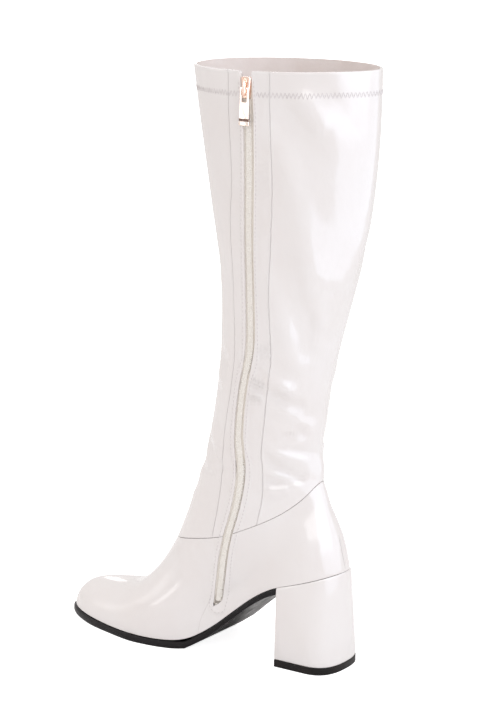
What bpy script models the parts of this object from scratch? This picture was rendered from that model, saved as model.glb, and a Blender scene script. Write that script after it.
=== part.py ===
"""Go go boot for the right foot: hollow upper and shaft, soles, block heel and side zip."""
import functools
import math

import bpy
import numpy as np
from mathutils import Matrix, Vector

MM = 0.001

# Driving sizes, in millimetres. "Ahead" is the distance in front of the heel's back,
# "height" is above the floor.
BOOT_LENGTH = 242.0
TIP_AHEAD = 240.8
SEAT_AHEAD = 2.2
WALL = 2.0
GAP = 0.3
SOLE_GAP = 0.55
MARGIN_WIDTH = 10.0
SOLE_LIP = 1.2
SOLE_THICKNESS = 5.3
WAIST_THICKNESS = 3.6
TOE_SPRING = 2.0
INSOLE_THICKNESS = 2.4
HEEL_LENGTH = 45.0
HEEL_HALF_WIDTH = 27.4
HEEL_CORNER = 20.0
LIFT_THICKNESS = 5.7
SEAM_FRONT_HEIGHT = 78.0
SEAM_BACK_HEIGHT = 138.0
ZIP_END_HEIGHT = 38.0
SLOT_HALF_WIDTH = 4.6
COIL_HALF_WIDTH = 2.3
TAPE_HALF_WIDTH = 8.0
TAPE_THICKNESS = 0.9
TAPE_TOP = 430.0
SLIDER_TOP = 431.5
SLIDER_LENGTH = 15.0
SLIDER_WIDTH = 7.6
HINGE_HEIGHT = 424.0
PULL_LENGTH = 27.0
PULL_WIDTH = 7.4
PULL_THICKNESS = 1.3


def columns(names, *rows):
    """A table by its columns, from one row for each section."""
    return dict(zip(names, zip(*rows)))


def joined(first, second):
    return {name: first[name] + second[name] for name in first}


# Plan of the last: half widths on the inner and outer side, and the height of the line
# where upper meets sole.
PLAN = columns(
    ("ahead", "inner", "outer", "feather"),
    (0, 26.8, 26.8, 74.8), (15, 27.0, 27.0, 69.9), (30, 26.8, 27.0, 65.0), (45, 26.2, 27.2, 60.2),
    (60, 25.6, 27.8, 52.6), (75, 25.6, 28.8, 41.0), (90, 27.2, 30.4, 27.8), (105, 30.6, 32.4, 15.2),
    (118, 35.2, 34.8, 6.8), (130, 39.6, 37.0, 5.7), (145, 42.8, 39.0, 5.6), (160, 43.6, 39.6, 5.6),
    (175, 41.0, 38.8, 5.6), (190, 37.0, 36.8, 5.8), (205, 32.8, 33.8, 6.2), (220, 29.0, 30.4, 6.7),
    (242, 25.5, 26.5, 7.6),
)

# Centre line over the toe and the vamp, then up the shin.
VAMP_LINE = columns(
    ("ahead", "height"),
    (240.8, 7.6), (239.9, 11), (238.2, 16), (234.8, 21.6), (228.6, 26), (220, 28.6), (209, 29.8),
    (198, 30.9), (187, 33.0), (177, 37.4), (168, 44.6), (159, 54.8), (150.5, 68), (143, 82),
    (136.8, 97), (131, 112), (125.5, 127),
)
SHIN_LINE = columns(
    ("ahead", "height"),
    (120.8, 140), (117.3, 152), (114.5, 165), (111.5, 182), (108.5, 200), (106.3, 220),
    (104.6, 240), (104.2, 260), (105.2, 280), (108.8, 300), (112.9, 320), (116.6, 340),
    (120.3, 360), (124.0, 380), (127.7, 400), (130.2, 416), (133.0, 433),
)
FRONT_LINE = joined(VAMP_LINE, SHIN_LINE)

# Centre line up the counter, then up the calf.
COUNTER_LINE = columns(
    ("ahead", "height"),
    (2.2, 74.8), (3.8, 82), (6.4, 92), (9.4, 101), (13.2, 110), (17.4, 119), (21.0, 129),
    (23.6, 140), (25.4, 152), (25.9, 166),
)
CALF_LINE = columns(
    ("ahead", "height"),
    (24.8, 184), (22.4, 202), (19.4, 218), (15.4, 238), (10.8, 256), (5.2, 277), (-0.6, 296),
    (-5.6, 319), (-9.4, 343), (-12.2, 370), (-13.8, 396), (-14.2, 420), (-14.0, 438),
)
BACK_LINE = joined(COUNTER_LINE, CALF_LINE)

# How far the ankle seam hangs below a straight line from its front to its back.
SEAM_DROP = {
    "share": (0, 0.14, 0.27, 0.38, 0.46, 0.60, 0.70, 0.81, 0.92, 1.0),
    "drop": (0, 4.1, 7.8, 11.2, 13.3, 14.4, 14.6, 13.6, 9.0, 0.0),
}

# Half width of the leg.
LEG = {
    "height": (100, 113, 150, 165, 200, 240, 280, 320, 360, 400, 436),
    "half_width": (35.5, 35.5, 36.2, 37.0, 38.4, 41.0, 44.2, 46.2, 47.5, 48.4, 49.2),
}

# Path of the zip down the inner side.
ZIP_LINE = columns(
    ("height", "ahead"),
    (38, 95.0), (60, 90.0), (78, 86.5), (96, 82.0), (114, 76.5), (132, 72.5), (150, 70.5),
    (166, 73.0), (200, 70.0), (218, 66.5), (230, 62.5), (252, 61.0), (280, 61.0), (320, 61.5),
    (360, 61.0), (400, 61.5), (436, 64.0),
)

# How blunt the forms are: 2 is an ellipse, more is squarer, less is more pointed.
TOE_ROUNDING, TOE_BLUNTNESS = 45.0, 2.3
HEEL_ROUNDING, HEEL_BLUNTNESS = 34.0, 2.0
VAMP_SIDE, VAMP_CROWN = 2.2, 2.4
SHIN_BLUNTNESS, CALF_BLUNTNESS = 2.1, 1.7

COLUMNS_FRONT = 11
COLUMNS_BACK = 11
COLUMNS_OUTER = 22
FOOT_ROWS_LOW = 5
FOOT_ROWS_HIGH = 13
LEG_ROWS = 22


def smooth(xs, ys, at):
    """Cubic curve through the rows of a table that never overshoots them."""
    xs, ys, at = np.asarray(xs, float), np.asarray(ys, float), np.asarray(at, float)
    step = np.diff(xs)
    rise = np.diff(ys) / step
    slope = np.empty_like(ys)
    slope[0], slope[-1] = rise[0], rise[-1]
    same = rise[:-1] * rise[1:] > 0
    mean = 2.0 * rise[:-1] * rise[1:] / np.where(same, rise[:-1] + rise[1:], 1.0)
    slope[1:-1] = np.where(same, mean, 0.0)
    at = np.clip(at, xs[0], xs[-1])
    i = np.clip(np.searchsorted(xs, at, side="right") - 1, 0, len(xs) - 2)
    t = (at - xs[i]) / step[i]
    start = ys[i] * (1 + 2 * t) * (1 - t) ** 2 + slope[i] * step[i] * t * (1 - t) ** 2
    end = ys[i + 1] * t * t * (3 - 2 * t) + slope[i + 1] * step[i] * t * t * (t - 1)
    return start + end


def plan(column, ahead):
    return smooth(PLAN["ahead"], PLAN[column], ahead)


def on_line(line, seam_height, level):
    """Point of a centre line: level 0 at its foot, 1 at the ankle seam, 2 at the collar."""
    steps = np.hypot(np.diff(line["ahead"]), np.diff(line["height"]))
    lengths = np.concatenate([[0.0], np.cumsum(steps)])
    seam = np.interp(seam_height, line["height"], lengths)
    way = np.interp(level, (0.0, 1.0, 2.0), (0.0, seam, lengths[-1]))
    return np.array([smooth(lengths, line["ahead"], way), smooth(lengths, line["height"], way)])


@functools.lru_cache(maxsize=None)
def ring_ends(level):
    """Front and back of a ring of the form."""
    return on_line(FRONT_LINE, SEAM_FRONT_HEIGHT, level), on_line(BACK_LINE, SEAM_BACK_HEIGHT, level)


def ease(share):
    share = min(max(share, 0.0), 1.0)
    return share * share * (3.0 - 2.0 * share)


def side_view(level, turn):
    """Ahead and height of a ring of the form, where turn 0 is its front and pi its back."""
    share = (1.0 - math.cos(turn)) / 2.0
    front, back = ring_ends(level)
    chord = front + (back - front) * share
    seam_drop = float(smooth(SEAM_DROP["share"], SEAM_DROP["drop"], share))
    if level >= 1.0:
        return chord - np.array([0.0, seam_drop * (1.0 - ease((level - 1.0) / 0.6))])
    straight = PLAN["feather"][-1] + (PLAN["feather"][0] - PLAN["feather"][-1]) * share
    sole_drop = straight - float(plan("feather", TIP_AHEAD + (SEAT_AHEAD - TIP_AHEAD) * share))
    return chord - np.array([0.0, sole_drop * (1.0 - level) + seam_drop * level])


def rounded(distance, radius, bluntness):
    """Share of the full width at a distance from a rounded end."""
    share = min(max(1.0 - distance / radius, 0.0), 1.0)
    return (1.0 - share ** bluntness) ** (1.0 / bluntness)


def plan_half_width(side, ahead, back_ahead=SEAT_AHEAD):
    toe = rounded(TIP_AHEAD - ahead, TOE_ROUNDING, TOE_BLUNTNESS)
    heel = rounded(ahead - back_ahead, HEEL_ROUNDING, HEEL_BLUNTNESS)
    return float(plan(side, ahead)) * toe * heel


def crown_height(ahead):
    """Height of the form's top over a place of the foot, carried on upward under the leg."""
    aheads = np.array(VAMP_LINE["ahead"])[::-1]
    heights = np.array(VAMP_LINE["height"])[::-1]
    if ahead < aheads[0]:
        return heights[0] + (aheads[0] - ahead) * 2.4
    return float(np.interp(ahead, aheads, heights))


def foot_half_width(side, ahead, height):
    feather = float(plan("feather", ahead))
    crown = crown_height(ahead)
    share = min(max((height - feather) / max(crown - feather, 0.01), 0.0), 1.0)
    back = float(np.interp(height, BACK_LINE["height"], BACK_LINE["ahead"]))
    section = (1.0 - share ** VAMP_CROWN) ** (1.0 / VAMP_SIDE)
    return plan_half_width(side, ahead, back) * section


def leg_half_width(level, turn):
    front, back = ring_ends(level)
    widest = float(smooth(LEG["height"], LEG["half_width"], (front[1] + back[1]) / 2.0))
    across = -math.cos(turn)
    bluntness = SHIN_BLUNTNESS if across < 0 else CALF_BLUNTNESS
    return widest * max(0.0, 1.0 - abs(across) ** bluntness) ** (1.0 / bluntness)


def form_point(level, turn, side):
    """Point of the last's outer form; x is to the inner side, y to the back, z up."""
    ahead, height = side_view(level, turn)
    leg = ease((level - 0.22) / 0.85)
    foot = foot_half_width(side, ahead, height) if leg < 1.0 else 0.0
    half = foot * (1.0 - leg) + leg_half_width(level, turn) * leg
    return np.array([half if side == "inner" else -half, -ahead, height])


def form_normal(level, turn, side):
    step = 0.004
    low, high = max(level - step, 0.0), min(level + step, 2.0)
    along = form_point(high, turn, side) - form_point(low, turn, side)
    round_it = form_point(level, turn + 0.02, side) - form_point(level, turn - 0.02, side)
    normal = np.cross(round_it, along)
    normal /= np.linalg.norm(normal)
    if normal[0] * (1 if side == "inner" else -1) < 0:
        normal = -normal
    return normal


@functools.lru_cache(maxsize=None)
def zip_turn(level):
    """Turn at which a ring crosses the zip."""
    turns = np.linspace(1.0, 2.3, 27)
    points = np.array([side_view(level, turn) for turn in turns])
    offsets = points[:, 0] - smooth(ZIP_LINE["height"], ZIP_LINE["ahead"], points[:, 1])
    return float(np.interp(0.0, offsets[::-1], turns[::-1]))


@functools.lru_cache(maxsize=None)
def zip_spread(level, half_width):
    """Turn on each side of the zip's middle that covers a half width."""
    middle = zip_turn(level)
    reach = form_point(level, middle + 0.05, "inner") - form_point(level, middle - 0.05, "inner")
    return half_width * 0.1 / float(np.linalg.norm(reach))


@functools.lru_cache(maxsize=None)
def zip_end_level():
    levels = np.linspace(0.05, 0.6, 56)
    heights = [side_view(level, zip_turn(level))[1] for level in levels]
    return float(np.interp(ZIP_END_HEIGHT, heights, levels))


def foot_levels():
    end = zip_end_level()
    low = [end * (row / FOOT_ROWS_LOW) ** 1.4 for row in range(FOOT_ROWS_LOW)]
    high = [end + (1.0 - end) * row / FOOT_ROWS_HIGH for row in range(FOOT_ROWS_HIGH + 1)]
    return low + high


def leg_levels():
    return [1.0 + row / LEG_ROWS for row in range(LEG_ROWS + 1)]


def ring(level):
    """One closed ring of points: front, inner side past the zip, back, outer side."""
    middle, spread = zip_turn(level), zip_spread(level, SLOT_HALF_WIDTH)
    before = np.linspace(0.0, middle - spread, COLUMNS_FRONT + 1)
    after = np.linspace(middle + spread, math.pi, COLUMNS_BACK + 1)
    inner = [form_point(level, turn, "inner") for turn in np.concatenate([before, after])]
    turns = np.linspace(math.pi, 0.0, COLUMNS_OUTER + 1)[1:-1]
    return inner + [form_point(level, turn, "outer") for turn in turns]


def inset(points, distance):
    """Closed outline moved inward in plan, square to itself."""
    points = np.array(points)
    ahead, behind = np.roll(points, -1, axis=0), np.roll(points, 1, axis=0)
    tangent = (ahead - behind)[:, :2]
    tangent /= np.linalg.norm(tangent, axis=1)[:, None]
    inward = np.stack([-tangent[:, 1], tangent[:, 0]], axis=1)
    centre = points[:, :2].mean(axis=0)
    if np.sum(inward * (centre - points[:, :2])) < 0:
        inward = -inward
    moved = points.copy()
    moved[:, :2] += inward * distance
    return moved


def make_material(name, color, roughness, metallic=0.0):
    material = bpy.data.materials.new(name)
    material.use_nodes = True
    shader = material.node_tree.nodes["Principled BSDF"]
    shader.inputs["Base Color"].default_value = (*color, 1.0)
    shader.inputs["Roughness"].default_value = roughness
    shader.inputs["Metallic"].default_value = metallic
    material.diffuse_color = (*color, 1.0)
    return material


def add_mesh(name, vertices, faces, material, smooth_shading=True):
    mesh = bpy.data.meshes.new(name)
    mesh.from_pydata([tuple(float(v) * MM for v in vertex) for vertex in vertices], [], faces)
    mesh.validate()
    mesh.update()
    mesh.materials.append(material)
    for polygon in mesh.polygons:
        polygon.use_smooth = smooth_shading
    thing = bpy.data.objects.new(name, mesh)
    BOOT.objects.link(thing)
    return thing


def face_outward(thing):
    bpy.context.view_layer.objects.active = thing
    thing.select_set(True)
    bpy.ops.object.mode_set(mode="EDIT")
    bpy.ops.mesh.select_all(action="SELECT")
    bpy.ops.mesh.normals_make_consistent(inside=False)
    bpy.ops.object.mode_set(mode="OBJECT")
    thing.select_set(False)


def crease_edges(thing, angle=32.0):
    """Keep real edges sharp under smooth shading."""
    bpy.context.view_layer.objects.active = thing
    thing.select_set(True)
    bpy.ops.object.mode_set(mode="EDIT")
    bpy.ops.mesh.select_mode(type="EDGE")
    bpy.ops.mesh.select_all(action="DESELECT")
    bpy.ops.mesh.edges_select_sharp(sharpness=math.radians(angle))
    bpy.ops.mesh.mark_sharp()
    bpy.ops.object.mode_set(mode="OBJECT")
    thing.select_set(False)


def apply_modifiers(thing):
    bpy.context.view_layer.objects.active = thing
    thing.select_set(True)
    for modifier in list(thing.modifiers):
        bpy.ops.object.modifier_apply(modifier=modifier.name)
    thing.select_set(False)


def thicken(thing, wall):
    """Give an open skin its wall, grown inward from the outer form."""
    face_outward(thing)
    shell = thing.modifiers.new("Wall", "SOLIDIFY")
    shell.thickness = wall * MM
    shell.offset = -1.0
    shell.use_even_offset = True
    shell.use_rim = True
    apply_modifiers(thing)


def skin_faces(row_count, column_count, first_open_row):
    """Quads of a tube of rings, with the zip's column left out from one row upward."""
    faces = []
    for row in range(row_count - 1):
        for column in range(column_count):
            if column == COLUMNS_FRONT and row >= first_open_row:
                continue
            after = (column + 1) % column_count
            low, high = row * column_count, (row + 1) * column_count
            faces.append((low + column, low + after, high + after, high + column))
    return faces


def make_upper(material):
    levels = foot_levels()
    rings = [ring(level) for level in levels]
    margin = [(x, y, seat_height(-y)) for x, y, _ in inset(rings[0], MARGIN_WIDTH)]
    rows = [margin] + rings
    points = [point for row in rows for point in row]
    faces = skin_faces(len(rows), len(rings[0]), FOOT_ROWS_LOW + 1)
    thing = add_mesh("upper", points, faces, material)
    thicken(thing, WALL)
    return thing


def make_shaft(material):
    levels = leg_levels()
    levels[0] += GAP / 280.0
    rings = [ring(level) for level in levels]
    points = [point for row in rings for point in row]
    thing = add_mesh("shaft", points, skin_faces(len(rings), len(rings[0]), 0), material)
    thicken(thing, WALL)
    return thing


def plate_faces(half_count, row_count):
    """Faces of a plate whose rows are outlines of paired left and right points, both ends cut square."""
    count = 2 * half_count
    faces = []
    for row in range(row_count - 1):
        for i in range(count):
            after = (i + 1) % count
            low, high = row * count, (row + 1) * count
            faces.append((low + i, low + after, high + after, high + i))
    last = (row_count - 1) * count
    for i in range(half_count - 1):
        faces.append((i, count - 1 - i, count - 2 - i, i + 1))
        faces.append((last + i, last + i + 1, last + count - 2 - i, last + count - 1 - i))
    return faces


def sides_of(closed):
    """Inner and outer side of a closed outline, each from heel to toe as ahead and half width."""
    toe, heel = closed[:, 1].argmin(), closed[:, 1].argmax()
    sides = []
    for sign in (1.0, -1.0):
        side = [i for i in range(len(closed)) if closed[i, 0] * sign > 0 or i in (toe, heel)]
        side.sort(key=lambda i: -closed[i, 1])
        sides.append((-closed[side, 1], closed[side, 0]))
    return sides


def plate_outline(closed, places, height_of):
    """Outline of a plate: the inner side at a row of places, then the outer side back again."""
    (inner_at, inner), (outer_at, outer) = sides_of(closed)
    there = [(float(np.interp(place, inner_at, inner)), -place, height_of(place)) for place in places]
    back = [(float(np.interp(place, outer_at, outer)), -place, height_of(place)) for place in places]
    return there + back[::-1]


def last_outline(outset):
    """Plan of the last, moved out past it by a set distance."""
    turns = np.linspace(0.0, math.pi, 100)
    aheads = TIP_AHEAD + (SEAT_AHEAD - TIP_AHEAD) * (1.0 - np.cos(turns)) / 2.0
    inner = [(plan_half_width("inner", ahead), -ahead, 0.0) for ahead in aheads]
    outer = [(-plan_half_width("outer", ahead), -ahead, 0.0) for ahead in aheads[1:-1]]
    return inset(inner + outer[::-1], -outset)


@functools.lru_cache(maxsize=None)
def bottom_edge():
    """Heights of the upper's lower edge between the columns it is built from, lower side first."""
    edge = np.array(ring(0.0))
    sides = (edge[edge[:, 0] > -0.01], edge[edge[:, 0] < 0.01])
    return [side[np.argsort(-side[:, 1])] for side in sides]


def seat_height(ahead):
    """Height of the upper's underside at a place along the foot."""
    return float(min(np.interp(ahead, -side[:, 1], side[:, 2]) for side in bottom_edge()))


def sole_top(ahead):
    return seat_height(ahead) - SOLE_GAP


def sole_bottom(ahead):
    """Underside of the outsole: flat under the ball, sprung at the toe, thinner at the waist."""
    waist = ease((114.0 - ahead) / 30.0)
    thickness = SOLE_THICKNESS + (WAIST_THICKNESS / math.cos(math.radians(38.0)) - SOLE_THICKNESS) * waist
    if ahead > 205.0:
        return TOE_SPRING * ease((ahead - 205.0) / 60.0) / ease(37.0 / 60.0)
    if ahead > 128.0:
        return 0.0
    return max(0.0, sole_top(ahead) - thickness)


def make_outsole(material):
    count = 44
    front, end = BOOT_LENGTH, HEEL_LENGTH + GAP
    turns = np.linspace(0.04, math.pi / 2.0, count)
    spread = 0.5 * np.cos(turns) + 0.5 * (1.0 - (turns - turns[0]) / (turns[-1] - turns[0]))
    rows = []
    for trim, height_of in ((0.7, sole_bottom), (0.0, lambda place: sole_bottom(place) + 1.2),
                            (0.0, lambda place: sole_top(place) - 0.8), (0.5, sole_top)):
        places = end + (front - trim - end) * spread
        rows.append(plate_outline(last_outline(SOLE_LIP - trim), places, height_of))
    points = [point for row in rows for point in row]
    thing = add_mesh("outsole", points, plate_faces(count, len(rows)), material)
    face_outward(thing)
    return thing


def make_insole(material):
    count = 24
    closed = inset([(x, y, 0.0) for x, y, _ in ring(0.04)], WALL + 0.6)
    front, end = -closed[:, 1].min() - 0.4, -closed[:, 1].max() + 0.4

    def low(place):
        behind = (seat_height(place - 9.0) - seat_height(place)) / 9.0
        before = (seat_height(place) - seat_height(place + 9.0)) / 9.0
        bend = max(behind - before, 0.0)
        return seat_height(place) + (WALL + GAP) / math.cos(math.atan(behind)) + 0.35 + 2.6 * bend

    places = end + (front - end) * (1.0 + np.cos(np.linspace(0.08, math.pi - 0.08, count))) / 2.0
    rows = [plate_outline(closed, places, low)]
    rows.append([(x, y, z + INSOLE_THICKNESS) for x, y, z in rows[0]])
    points = [point for row in rows for point in row]
    thing = add_mesh("insole", points, plate_faces(count, 2), material)
    face_outward(thing)
    return thing


def heel_outline(back, half_width, length, corner, height_of):
    """D-shaped outline of the heel block, from breast to back on both sides."""
    count = 16
    straight = [back + length - (length - corner) * i / 4.0 for i in range(4)]
    curved = [back + corner * (1.0 - math.sin(math.pi / 2.0 * i / (count - 5))) for i in range(count - 4)]
    places = straight + curved
    widths = [half_width * rounded(place - back, corner, 2.0 + 12.0 / corner) for place in places]
    widths[-1] = max(widths[-1], 1.0)
    inner = [(width, -place, height_of(place)) for width, place in zip(widths, places)]
    outer = [(-width, -place, height_of(place)) for width, place in zip(widths, places)]
    return inner + outer[::-1], count


def make_heel(material):
    top = SEAT_AHEAD + 0.3
    rows = []
    for share in (0.0, 0.03, 0.25, 0.5, 0.75, 0.97, 1.0):
        back = top * share ** 1.5
        half = HEEL_HALF_WIDTH - 0.2 + (26.8 - HEEL_HALF_WIDTH) * share
        if share in (0.0, 1.0):
            half -= 0.4
            back += 0.4
        length = HEEL_LENGTH - back

        def height_of(place, share=share):
            low = LIFT_THICKNESS + 0.15
            high = seat_height(place) - 0.35
            return low + (high - low) * share

        corner = HEEL_CORNER + (HEEL_ROUNDING - HEEL_CORNER) * share
        row, count = heel_outline(back, half, length, corner, height_of)
        rows.append(row)
    points = [point for row in rows for point in row]
    thing = add_mesh("heel", points, plate_faces(count, len(rows)), material)
    face_outward(thing)
    return thing


def make_top_lift(material):
    rows = []
    for height, trim in ((0.0, 0.6), (0.6, 0.0), (LIFT_THICKNESS - 0.3, 0.0), (LIFT_THICKNESS, 0.3)):
        half, length = HEEL_HALF_WIDTH - trim, HEEL_LENGTH - trim
        row, count = heel_outline(trim, half, length, HEEL_CORNER, lambda place, h=height: h)
        rows.append(row)
    points = [point for row in rows for point in row]
    thing = add_mesh("top_lift", points, plate_faces(count, len(rows)), material)
    face_outward(thing)
    return thing


def make_strip(name, levels, half_width, depths, columns, material):
    """Closed strip that runs along the zip between two depths below the form's surface."""
    outer, inner = [], []
    for level in levels:
        middle, spread = zip_turn(level), zip_spread(level, half_width)
        for turn in np.linspace(middle - spread, middle + spread, columns + 1):
            point, normal = form_point(level, turn, "inner"), form_normal(level, turn, "inner")
            outer.append(point - normal * depths[0])
            inner.append(point - normal * depths[1])
    wide, total = columns + 1, len(outer)
    faces = []
    for row in range(len(levels) - 1):
        for column in range(columns):
            a = row * wide + column
            faces.append((a, a + 1, a + wide + 1, a + wide))
            faces.append((total + a, total + a + wide, total + a + wide + 1, total + a + 1))
        for side in (0, columns):
            a = row * wide + side
            faces.append((a, a + wide, total + a + wide, total + a))
    for row in (0, len(levels) - 1):
        for column in range(columns):
            a = row * wide + column
            faces.append((a, total + a, total + a + 1, a + 1))
    thing = add_mesh(name, outer + inner, faces, material)
    face_outward(thing)
    return thing


def zip_levels(start, top_height):
    """Levels of all rows that the zip passes, from a start past the slot's end up to a height."""
    first = zip_end_level() + start
    levels = [first] + [level for level in foot_levels() + leg_levels()[1:] if level > first + 0.012]
    heights = [side_view(level, zip_turn(level))[1] for level in levels]
    top = float(np.interp(top_height, heights, levels))
    return [level for level in levels if level < top - 0.004] + [top]


def box(name, centre, size, material=None):
    bpy.ops.mesh.primitive_cube_add(size=1.0, location=Vector(centre) * MM)
    thing = bpy.context.active_object
    thing.name = name
    thing.scale = Vector(size) * MM
    bpy.ops.object.transform_apply(location=True, rotation=False, scale=True)
    for collection in list(thing.users_collection):
        collection.objects.unlink(thing)
    if material is None:
        CUTTERS.objects.link(thing)
        thing.hide_render = True
        thing.display_type = "WIRE"
    else:
        BOOT.objects.link(thing)
        thing.data.materials.append(material)
    return thing


def combine(thing, other, operation):
    modifier = thing.modifiers.new(other.name, "BOOLEAN")
    modifier.object = other
    modifier.operation = operation
    modifier.solver = "EXACT"
    apply_modifiers(thing)


def bevel(thing, width, segments=2):
    modifier = thing.modifiers.new("Edges", "BEVEL")
    modifier.width = width * MM
    modifier.segments = segments
    modifier.limit_method = "ANGLE"
    apply_modifiers(thing)


def slider_place():
    """Middle of the slider on the form's surface."""
    middle = SLIDER_TOP - SLIDER_LENGTH / 2.0
    levels = np.linspace(1.8, 2.0, 41)
    heights = [side_view(level, zip_turn(level))[1] for level in levels]
    level = float(np.interp(middle, heights, levels))
    return form_point(level, zip_turn(level), "inner")


def make_slider(material):
    x, y, z = slider_place()
    body = box("zip_slider", (x - 0.1, y, z), (3.4, SLIDER_WIDTH, SLIDER_LENGTH), material)
    bevel(body, 0.8)
    bail = box("bail", (x + 2.8, y, HINGE_HEIGHT), (3.8, 2.2, 11.0))
    bevel(bail, 0.7)
    under = box("bail_window", (x + 2.45, y, HINGE_HEIGHT), (2.1, 4.0, 7.4))
    combine(bail, under, "DIFFERENCE")
    combine(body, bail, "UNION")
    return body, (x + 2.5, y, HINGE_HEIGHT)


def make_pull(material, hinge):
    x, y, z = hinge
    middle = z + PULL_THICKNESS / 2.0 - PULL_LENGTH / 2.0
    pull = box("zip_pull", (x, y, middle), (PULL_THICKNESS, PULL_WIDTH, PULL_LENGTH), material)
    for vertex in pull.data.vertices:
        drop = (z - vertex.co.z / MM) / PULL_LENGTH
        vertex.co.y = (y + (vertex.co.y / MM - y) * (0.94 + 0.16 * max(drop, 0.0))) * MM
    window = box("pull_window", (x, y, z - PULL_THICKNESS / 2.0 - 4.6), (4.0, 4.4, 9.2))
    bevel(window, 0.8)
    combine(pull, window, "DIFFERENCE")
    bevel(pull, 0.25, 1)
    pull.data.transform(Matrix.Translation(-Vector(hinge) * MM))
    pull.location = Vector(hinge) * MM
    return pull


def rest_on_centre(things):
    """Move the whole boot so that its box stands on the floor around the origin."""
    corners = [thing.matrix_world @ Vector(corner) for thing in things for corner in thing.bound_box]
    lows = Vector([min(corner[axis] for corner in corners) for axis in range(3)])
    highs = Vector([max(corner[axis] for corner in corners) for axis in range(3)])
    shift = Vector((-(lows.x + highs.x) / 2.0, -(lows.y + highs.y) / 2.0, -lows.z))
    for thing in things:
        if thing.name == "zip_pull":
            thing.location += shift
        else:
            thing.data.transform(Matrix.Translation(shift))
    bpy.context.view_layer.update()
    return shift


for old in list(bpy.data.objects):
    bpy.data.objects.remove(old, do_unlink=True)
BOOT = bpy.data.collections.new("go_go_boot")
CUTTERS = bpy.data.collections.new("cutters")
for collection in (BOOT, CUTTERS):
    bpy.context.scene.collection.children.link(collection)

patent = make_material("patent", (0.86, 0.82, 0.78), 0.12)
heel_cover = make_material("heel_cover", (0.86, 0.82, 0.79), 0.14)
sole_black = make_material("sole_black", (0.022, 0.018, 0.02), 0.4)
lift_black = make_material("lift_black", (0.02, 0.017, 0.018), 0.5)
board = make_material("board", (0.62, 0.5, 0.42), 0.8)
tape_cloth = make_material("tape_cloth", (0.78, 0.7, 0.6), 0.8)
coil_nylon = make_material("coil_nylon", (0.8, 0.72, 0.62), 0.45)
slider_metal = make_material("slider_metal", (0.86, 0.6, 0.5), 0.22, 1.0)
pull_metal = make_material("pull_metal", (0.88, 0.66, 0.57), 0.15, 1.0)

upper = make_upper(patent)
shaft = make_shaft(patent)
insole = make_insole(board)
outsole = make_outsole(sole_black)
heel = make_heel(heel_cover)
top_lift = make_top_lift(lift_black)
TAPE_DEPTHS = (WALL + GAP, WALL + GAP + TAPE_THICKNESS)
tape = make_strip("zip_tape", zip_levels(-0.04, TAPE_TOP), TAPE_HALF_WIDTH, TAPE_DEPTHS, 4, tape_cloth)
COIL_TOP = SLIDER_TOP - SLIDER_LENGTH - 0.5
coil = make_strip("zip_coil", zip_levels(0.012, COIL_TOP), COIL_HALF_WIDTH, (0.3, WALL), 2, coil_nylon)
slider, hinge_place = make_slider(slider_metal)
pull = make_pull(pull_metal, hinge_place)

PIECES = [upper, shaft, insole, outsole, heel, top_lift, tape, coil, slider, pull]
for piece in PIECES:
    crease_edges(piece)
SHIFT = rest_on_centre(PIECES)
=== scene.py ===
"""Looks of the go go boot over its solids: patent skins, lining, soles, covered heel, zip and sewing."""

import math

import bmesh
import bpy
import numpy as np
from mathutils import Matrix, Quaternion, Vector
from mathutils.bvhtree import BVHTree


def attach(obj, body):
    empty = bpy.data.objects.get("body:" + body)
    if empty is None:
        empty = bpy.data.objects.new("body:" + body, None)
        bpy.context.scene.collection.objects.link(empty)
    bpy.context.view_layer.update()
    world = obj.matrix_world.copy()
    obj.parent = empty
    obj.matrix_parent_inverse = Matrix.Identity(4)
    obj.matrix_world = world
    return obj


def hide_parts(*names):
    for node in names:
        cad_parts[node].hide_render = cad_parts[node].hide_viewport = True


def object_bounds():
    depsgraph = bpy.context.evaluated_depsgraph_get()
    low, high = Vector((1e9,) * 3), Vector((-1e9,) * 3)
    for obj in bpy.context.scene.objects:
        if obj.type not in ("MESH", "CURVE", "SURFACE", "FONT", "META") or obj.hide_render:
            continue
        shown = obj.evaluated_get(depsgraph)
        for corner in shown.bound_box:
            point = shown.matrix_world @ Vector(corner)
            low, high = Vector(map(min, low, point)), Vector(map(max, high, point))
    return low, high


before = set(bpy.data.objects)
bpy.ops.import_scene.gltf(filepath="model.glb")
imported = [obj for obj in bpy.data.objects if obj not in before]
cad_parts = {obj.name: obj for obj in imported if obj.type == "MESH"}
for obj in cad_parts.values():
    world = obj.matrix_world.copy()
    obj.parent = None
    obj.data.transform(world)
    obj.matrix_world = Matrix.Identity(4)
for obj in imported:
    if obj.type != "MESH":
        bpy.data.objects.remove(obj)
SOLID_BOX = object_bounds()

MM = 0.001

# Sizes are in millimetres. "Ahead" runs from the heel's back to the toe, "across" towards the inner side.
CALF_BEHIND_HEEL = 14.2
MIDDLE_ACROSS = -2.189
HEEL_BACK = SOLID_BOX[1].y / MM - CALF_BEHIND_HEEL

# The collar's front and back: ahead, height. Its middle: ahead.
COLLAR_FRONT = (133.0, 433.0)
COLLAR_BACK = (-14.0, 438.0)
COLLAR_MIDDLE = 58.0

# Leather: how far an edge is turned in and rounded over, and how far in a fold may go.
LEATHER_EDGE = 2.0
EDGE_ROUND = 0.35
DEEPEST_FOLD = 1.6

# A wall's face ends where it turns by this many degrees.
WALL_TURN = 48.0

# The direction out of the surface is averaged over this many points of a line.
FACET_SPAN = 9

# Folds: reach and place of the lip in half widths, height of the lip as a share of the depth,
# how quickly the ends fade, and points on a fold's line.
FOLD_REACH = 3.4
FOLD_LIP_OFF = 1.9
FOLD_LIP = 0.3
FOLD_TAPER = 3.5
FOLD_POINTS = 60

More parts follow.
